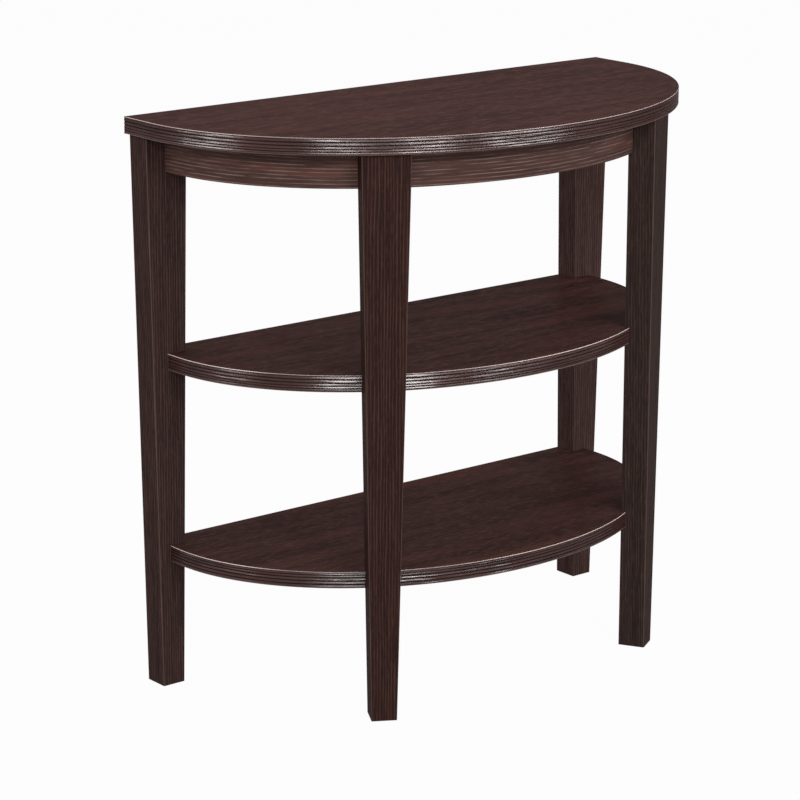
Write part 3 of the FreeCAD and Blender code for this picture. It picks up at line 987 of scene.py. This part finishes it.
    def _bowed(self, bow: Bow, low: Vector, high: Vector, left_back: float | None,
               right_back: float | None) -> list[Vector]:
        """Path of a bowed band.

        Args:
            bow: Outline of the board.
            low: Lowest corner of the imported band.
            high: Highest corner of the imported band.
            left_back: Place along Y where a straight left end starts, if the band has one.
            right_back: Place along Y where a straight right end stops, if the band has one.

        Returns:
            Points from left to right.
        """
        middle = bow.inside(self.thickness / 2)
        first = 0.0 if left_back is not None else middle.angle_at(low.x + self.end_gap)
        last = math.pi if right_back is not None else middle.angle_at(high.x - self.end_gap)
        points = middle.arc(first, last, self.arc_points)
        if left_back is not None:
            points.insert(0, Vector((-middle.half_width, left_back, 0.0)))
        if right_back is not None:
            points.append(Vector((middle.half_width, right_back, 0.0)))
        level = (low.z + high.z) / 2
        return [Vector((point.x, point.y, level)) for point in points]

    @staticmethod
    def _straight(node: str, gap: float) -> list[Vector]:
        """Path of a straight band along the back edge, going right to left so that its face looks back.

        Args:
            node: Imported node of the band.
            gap: Room at each end.

        Returns:
            The two ends of the path.
        """
        low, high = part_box(node)
        middle = (low + high) / 2
        return [Vector((high.x - gap, middle.y, middle.z)), Vector((low.x + gap, middle.y, middle.z))]

    def _sweep(self, node: str, path: list[Vector], material: bpy.types.Material,
               seed: int) -> bpy.types.Object:
        """Run the ridged profile along a path.

        Args:
            node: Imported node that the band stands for.
            path: Points of the path.
            material: Material of the band.
            seed: Number that sets the drift of the ridges.

        Returns:
            The band as a plain mesh object.
        """
        low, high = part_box(node)
        line = bpy.data.meshes.new(node + "_path")
        line.from_pydata(path, [(index, index + 1) for index in range(len(path) - 1)], [])
        carrier = new_object(node + "_carrier", line)
        modifier = carrier.modifiers.new("ridged_band", "NODES")
        modifier.node_group = self.tree
        turned = node.startswith("lower_shelf")
        first_ridge = self.turned_first_ridge if turned else self.first_ridge
        # Strength of the painted arris highlight, on the top or on the shelves.
        highlight = self.top_highlight if node.startswith("top") else self.shelf_highlight
        sizes = {"Height": high.z - low.z, "Thickness": self.thickness, "Arris": self.arris,
                 "Step": self.step, "Fineness": self.fineness, "First Ridge": first_ridge,
                 "Wide Pitch": self.wide_pitch, "Close Pitch": self.close_pitch, "Depth": self.depth,
                 "Wander": self.wander, "Way": -1.0 if turned else 1.0, "Highlight": highlight,
                 "Seed": float(seed), "Material": material}
        for name, value in sizes.items():
            modifier[self.sockets[name]] = value
        evaluated = carrier.evaluated_get(bpy.context.evaluated_depsgraph_get())
        mesh = bpy.data.meshes.new_from_object(evaluated)
        mesh.name = node + "_ridged"
        bpy.data.objects.remove(carrier)
        bpy.data.meshes.remove(line)
        return new_object(node + "_ridged", mesh)

    def _make_tree(self) -> None:
        """Geometry tree that sweeps a rounded rectangle along a path and presses ridges into its face."""
        self.tree = bpy.data.node_groups.new("ridged_band", "GeometryNodeTree")
        face = self.tree.interface
        face.new_socket("Path", in_out="INPUT", socket_type="NodeSocketGeometry")
        for name in self.INPUTS:
            made = face.new_socket(name, in_out="INPUT", socket_type="NodeSocketFloat")
            self.sockets[name] = made.identifier
        self.sockets["Material"] = face.new_socket(
            "Material", in_out="INPUT", socket_type="NodeSocketMaterial").identifier
        face.new_socket("Band", in_out="OUTPUT", socket_type="NodeSocketGeometry")
        graph = Graph(self.tree)
        path = graph.add("NodeGroupInput", {}, {}, "Path")
        rail = self._rail(graph, path)
        profile = self._profile(graph, path)
        swept = graph.add("GeometryNodeCurveToMesh", {}, {
            "Curve": rail, "Profile Curve": profile, "Fill Caps": True})
        band = self._press(graph, path, rail, profile, swept)
        smooth = graph.add("GeometryNodeSetShadeSmooth", {}, {"Geometry": band, "Shade Smooth": True})
        real = graph.add("GeometryNodeRealizeInstances", {}, {"Geometry": smooth})
        dressed = graph.add("GeometryNodeSetMaterial", {}, {
            "Geometry": real, "Material": path.other("Material")})
        graph.add("NodeGroupOutput", {}, {"Band": dressed})

    @staticmethod
    def _rail(graph: Graph, path: Term) -> Term:
        """Path as a curve that knows how far along it is and which way is outwards.

        Args:
            graph: Graph of the tree.
            path: Group input.

        Returns:
            The captured curve.
        """
        curve = graph.add("GeometryNodeMeshToCurve", {}, {"Mesh": path})
        upright = graph.add("GeometryNodeSetCurveNormal", {"mode": "Z_UP"}, {"Curve": curve})
        even = graph.add("GeometryNodeResampleCurve", {"mode": "LENGTH"}, {
            "Curve": upright, "Length": path.other("Step")})
        along = graph.add("GeometryNodeSplineParameter", {}, {}, "Length")
        outward = graph.add("GeometryNodeInputNormal")
        return graph.add("GeometryNodeCaptureAttribute", {
            "domain": "POINT", "captures": (("FLOAT", "Along"), ("VECTOR", "Outward"))},
            {"Geometry": even, "Along": along, "Outward": outward}, "Geometry")

    def _profile(self, graph: Graph, path: Term) -> Term:
        """Rounded rectangle that knows the height and the depth of its points, with few on its inner side.

        Args:
            graph: Graph of the tree.
            path: Group input.

        Returns:
            The captured profile.
        """
        outline = graph.add("GeometryNodeCurvePrimitiveQuadrilateral", {"mode": "RECTANGLE"}, {
            "Width": path.other("Thickness"), "Height": path.other("Height")})
        across, drop, _ = graph.parts(graph.add("GeometryNodeInputPosition"))
        outer_only = across.math("GREATER_THAN", across, 0.0) * path.other("Arris")
        rounded = graph.add("GeometryNodeFilletCurve", {"mode": "POLY"}, {
            "Curve": outline, "Count": self.arris_points, "Radius": outer_only})
        even = graph.add("GeometryNodeResampleCurve", {"mode": "LENGTH"}, {
            "Curve": rounded, "Length": path.other("Fineness")})
        inner = across.math("LESS_THAN", across, 0.0)
        flat = drop.math("LESS_THAN", drop.size(), path.other("Height") / 2.0 - path.other("Arris"))
        thinned = graph.add("GeometryNodeDeleteGeometry", {"domain": "POINT"}, {
            "Geometry": even, "Selection": inner * flat})
        return graph.add("GeometryNodeCaptureAttribute", {
            "domain": "POINT", "captures": (("FLOAT", "Across"), ("FLOAT", "Level"))},
            {"Geometry": thinned, "Across": across, "Level": 0.0 - drop}, "Geometry")

    def _press(self, graph: Graph, path: Term, rail: Term, profile: Term, swept: Term) -> Term:
        """Ridges pressed into the outer face, with the values that the finish reads.

        Args:
            graph: Graph of the tree.
            path: Group input.
            rail: Captured path.
            profile: Captured profile.
            swept: Plain swept band.

        Returns:
            The band with its ridges and attributes.
        """
        along = rail.other("Along")
        across = profile.other("Across")
        level = profile.other("Level")
        seed = path.other("Seed")
        half = path.other("Height") / 2.0
        outer = (across / path.other("Thickness")).rise(*self.FACE)
        edge = (half - level.size()) / path.other("Arris")
        step, depth = self._ridge_step(graph, path, along, level)
        upward = step / self.slope_share
        wave = upward.math("SMOOTH_MIN", upward, (1.0 - step) / (1.0 - self.slope_share), self.crest_round)
        uneven = graph.noise(graph.vector(along / self.uneven_length + seed * self.HEIGHT_SHIFT,
                                          level / self.uneven_pitch, seed), detail=1.0)
        ridge = wave * uneven.rise(*self.HEIGHTS).between(1.0 - self.uneven_share, 1.0)
        crest = ridge.most(1.0 - edge.rise(*self.RIDGES_BEGIN))
        # Painted highlight along the arris: strong on the upper edge, faint on the lower, strongest towards
        # the ends of a band.
        upper = (level / half).rise(*self.HIGHLIGHT_GROWS).between(self.LOWER_HIGHLIGHT, 1.0)
        corner = (1.0 - edge.rise(*self.HIGHLIGHT_ENDS)) * upper * outer
        past_crest = step.rise(*(self.slope_share + way for way in self.GLOSS_ENDS))
        slope = step.rise(*self.GLOSS_BEGINS) * (1.0 - past_crest)
        to_right = graph.parts(rail.other("Outward"))[0]
        ends = (0.0 - to_right).rise(*self.highlight_left).most(to_right.rise(*self.highlight_right))
        arris = corner * ends.between(self.least_highlight, path.other("Highlight"))
        gloss = (slope * outer).most(corner) * (1.0 - to_right.rise(self.shine_from, self.shine_to))
        offset = graph.add("ShaderNodeVectorMath", {"operation": "SCALE"}, {
            0: rail.other("Outward"), "Scale": (crest - 1.0) * depth * outer})
        pressed = graph.add("GeometryNodeSetPosition", {}, {"Geometry": swept, "Offset": offset})
        run = graph.vector(along + seed * self.GRAIN_SHIFT, level, across)
        for mark, kind, value in ((Mark.RUN, "FLOAT_VECTOR", run), (Mark.RIDGE, "FLOAT", crest),
                                  (Mark.ARRIS_HIGHLIGHT, "FLOAT", arris), (Mark.GLOSS, "FLOAT", gloss)):
            pressed = graph.add("GeometryNodeStoreNamedAttribute", {"data_type": kind, "domain": "POINT"}, {
                "Geometry": pressed, "Name": mark.value, "Value": value})
        return pressed

    def _ridge_step(self, graph: Graph, path: Term, along: Term, level: Term) -> tuple[Term, Term]:
        """Where a point lies between one valley and the next, from above.

        Args:
            graph: Graph of the tree.
            path: Group input.
            along: Distance along the band.
            level: Height above the middle of the band.

        Returns:
            Share of the way from valley to valley, and the depth of the valleys there.
        """
        way = path.other("Way")
        first = path.other("First Ridge")
        wide = path.other("Wide Pitch")
        close = path.other("Close Pitch")
        seed = path.other("Seed")
        drop = path.other("Height") / 2.0 - level * way
        last_wide = first + wide * float(self.wide_gaps)
        count = (drop.least(last_wide) - first) / wide + (drop - last_wide).most(0.0) / close
        drift = graph.noise(graph.vector(along / self.wander_length + seed * self.DRIFT_SHIFT,
                                         level / self.wander_pitch, seed), detail=2.0) - 0.5
        phase = count * way + drift * path.other("Wander") + self.slope_share
        in_wide = drop.math("LESS_THAN", drop, last_wide)
        depth = in_wide.between(close, wide) / wide * path.other("Depth")
        return phase.math("FRACT", phase), depth


@dataclass
class Fasteners:
    """Dowels, cam bolts and cam locks inside the joints.

    Attributes:
        beech: Wood of the dowels.
        bolt: Metal of the cam bolts.
        lock: Metal of the cam locks.
    """

    beech: Beech = Beech()
    bolt: Zinc = Zinc("bright_zinc", (0.70, 0.70, 0.68), (0.48, 0.47, 0.44), 0.28)
    lock: Zinc = Zinc("cast_zinc", (0.56, 0.56, 0.55), (0.36, 0.36, 0.35), 0.42)

    def dress(self) -> None:
        """Give every fastener its material."""
        beech = self.beech.material()
        bolt = self.bolt.material()
        lock = self.lock.material()
        for board in ("top", "middle_shelf", "lower_shelf"):
            dress(board + "_dowels", beech)
            dress(board + "_cam_bolts", bolt)
            dress(board + "_cam_locks", lock)
        for group in ("apron_dowels", "rail_dowels"):
            dress(group, beech)


@dataclass(frozen=True)
class Softbox:
    """A soft studio lamp, pointed at the middle of the table.

    Attributes:
        name: Name of the lamp.
        heading: Direction from the table to the lamp, in degrees from +X towards +Y.
        elevation: Height of the lamp above the horizon, in degrees.
        width: Width of its face.
        height: Height of its face.
        level: Brightness of its face, where 1 is white.
        distance: Distance from the table.
    """

    name: str
    heading: float
    elevation: float
    width: float
    height: float
    level: float
    distance: float = 6.0

    def place(self, target: Vector) -> None:
        """Make the lamp.

        Args:
            target: Point that the lamp faces.
        """
        lamp = bpy.data.lights.new(self.name, "AREA")
        lamp.shape = "RECTANGLE"
        lamp.size = self.width
        lamp.size_y = self.height
        lamp.energy = self.level * math.pi * self.width * self.height
        away = direction(self.heading, self.elevation)
        holder = new_object(self.name, lamp)
        holder.location = target + away * self.distance
        holder.rotation_mode = "QUATERNION"
        holder.rotation_quaternion = (-away).to_track_quat("-Z", "Y")
        holder.visible_camera = False


@dataclass
class Studio:
    """Pale floor, soft light and the camera of the photograph.

    Attributes:
        floor_reach: Half of the floor's width.
        floor_colour: Colour of the floor.
        floor_glow: Share of the floor that shows as plain white.
        world_level: Brightness of the surroundings.
        target: Point that the lamps face.
        camera_place: Place of the camera.
        heading: Direction that the camera looks in, in degrees from +X towards +Y.
        pitch: How far the camera looks down, in degrees.
        roll: Turn of the camera to the left, in degrees.
        focal_pixels: Focal length in pixels of an image of image_pixels.
        image_pixels: Width of the image.
        sensor: Width of the sensor in millimetres.
        sight: Distance that the camera sees.
        lamps: The lamps.
    """

    floor_reach: float = 30.0
    floor_colour: float = 0.50
    floor_glow: float = 0.97
    world_level: float = 0.15
    target: Vector = field(default_factory=lambda: Vector((0.0, 0.0, 0.45)))
    camera_place: Vector = field(default_factory=lambda: Vector((-2.4673, -2.8774, 1.3912)))
    heading: float = 50.644
    pitch: float = 15.275
    roll: float = 0.330
    focal_pixels: float = 2989.0
    image_pixels: float = 800.0
    sensor: float = 36.0
    sight: float = 100.0
    lamps: tuple[Softbox, ...] = (
        Softbox("left_softbox", 166.0, 25.0, 3.0, 0.65, 10.0),
        Softbox("camera_softbox", 229.0, 26.0, 1.6, 0.65, 20.0),
        Softbox("front_softbox", 262.0, 26.0, 1.5, 0.65, 25.0),
        Softbox("right_softbox", 298.0, 25.0, 2.4, 0.65, 13.0),
        Softbox("fill_softbox", 236.0, 12.0, 2.5, 1.2, 4.0),
        Softbox("back_softbox", 105.0, 40.0, 2.5, 2.0, 3.5),
        Softbox("overhead_softbox", 235.0, 80.0, 1.4, 1.4, 5.3, 3.0),
    )

    def build(self) -> None:
        """Make the floor, the light and the camera."""
        self._floor()
        self._world()
        for lamp in self.lamps:
            lamp.place(self.target)
        self._camera()
        bpy.context.scene.view_settings.view_transform = "Standard"

    def _floor(self) -> None:
        """Pale floor under the table, unseen from below."""
        reach = self.floor_reach
        mesh = bpy.data.meshes.new("studio_floor")
        corners = [(-reach, -reach, 0.0), (reach, -reach, 0.0), (reach, reach, 0.0), (-reach, reach, 0.0)]
        mesh.from_pydata(corners, [], [(0, 1, 2, 3)])
        mesh.materials.append(self._floor_material())
        floor = new_object("studio_floor", mesh)
        floor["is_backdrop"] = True

    def _floor_material(self) -> bpy.types.Material:
        """White paper that keeps the shadow of the table.

        Returns:
            The finished material.
        """
        made, graph = new_graph("studio_paper")
        tone = (self.floor_colour,) * 3 + (1.0,)
        paper = graph.add("ShaderNodeBsdfDiffuse", {}, {"Color": tone})
        glow = graph.add("ShaderNodeEmission", {}, {"Color": (1.0, 1.0, 1.0, 1.0), "Strength": 1.0})
        seen = graph.add("ShaderNodeLightPath", {}, {}, "Is Camera Ray")
        shown = seen.most(seen.other("Is Glossy Ray")).most(seen.other("Is Transmission Ray"))
        lit = graph.add("ShaderNodeMixShader", {}, {0: shown * self.floor_glow, 1: paper, 2: glow})
        clear = graph.add("ShaderNodeBsdfTransparent")
        below = graph.add("ShaderNodeNewGeometry", {}, {}, "Backfacing")
        sheet = graph.add("ShaderNodeMixShader", {}, {0: below, 1: lit, 2: clear})
        graph.add("ShaderNodeOutputMaterial", {}, {"Surface": sheet})
        return made

    def _world(self) -> None:
        """Even pale surroundings."""
        world = bpy.data.worlds.new("studio_world")
        world.use_nodes = True
        backdrop = world.node_tree.nodes["Background"]
        backdrop.inputs["Color"].default_value = (1.0, 1.0, 1.0, 1.0)
        backdrop.inputs["Strength"].default_value = self.world_level
        bpy.context.scene.world = world

    def _camera(self) -> None:
        """Camera at the photograph's place."""
        lens = bpy.data.cameras.new("photo_camera")
        lens.sensor_width = self.sensor
        lens.lens = self.focal_pixels / self.image_pixels * self.sensor
        lens.clip_end = self.sight
        look = direction(self.heading, -self.pitch)
        camera = new_object("photo_camera", lens)
        camera.location = self.camera_place
        camera.rotation_mode = "QUATERNION"
        turn = Quaternion((0.0, 0.0, 1.0), math.radians(self.roll))
        camera.rotation_quaternion = look.to_track_quat("-Z", "Y") @ turn
        bpy.context.scene.camera = camera


@dataclass(frozen=True)
class Plan:
    """Outline of the table in plan.

    Attributes:
        straight_end: How far the ends of the top run straight forward.
        shelf_inset: How far the shelves and aprons lie inside the top.
    """

    straight_end: float = 0.056
    shelf_inset: float = 0.036

    def top_bow(self, low: Vector, high: Vector) -> Bow:
        """Outline of the top, from the lowest and highest corner of the table."""
        start = high.y - self.straight_end
        return Bow(high.x, start - low.y, start)


def main() -> None:
    """Build the table's bands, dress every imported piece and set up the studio."""
    logging.basicConfig(level=logging.INFO, format="%(message)s")
    cad_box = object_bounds()
    plan = Plan()
    top_bow = plan.top_bow(*cad_box)
    shelf_bow = top_bow.inside(plan.shelf_inset)
    Boards().dress()
    Legs().dress()
    Aprons(shelf_bow).dress()
    Fasteners().dress()
    EdgeBands(top_bow, shelf_bow).build()
    Studio().build()


if __name__ == "__main__":
    main()
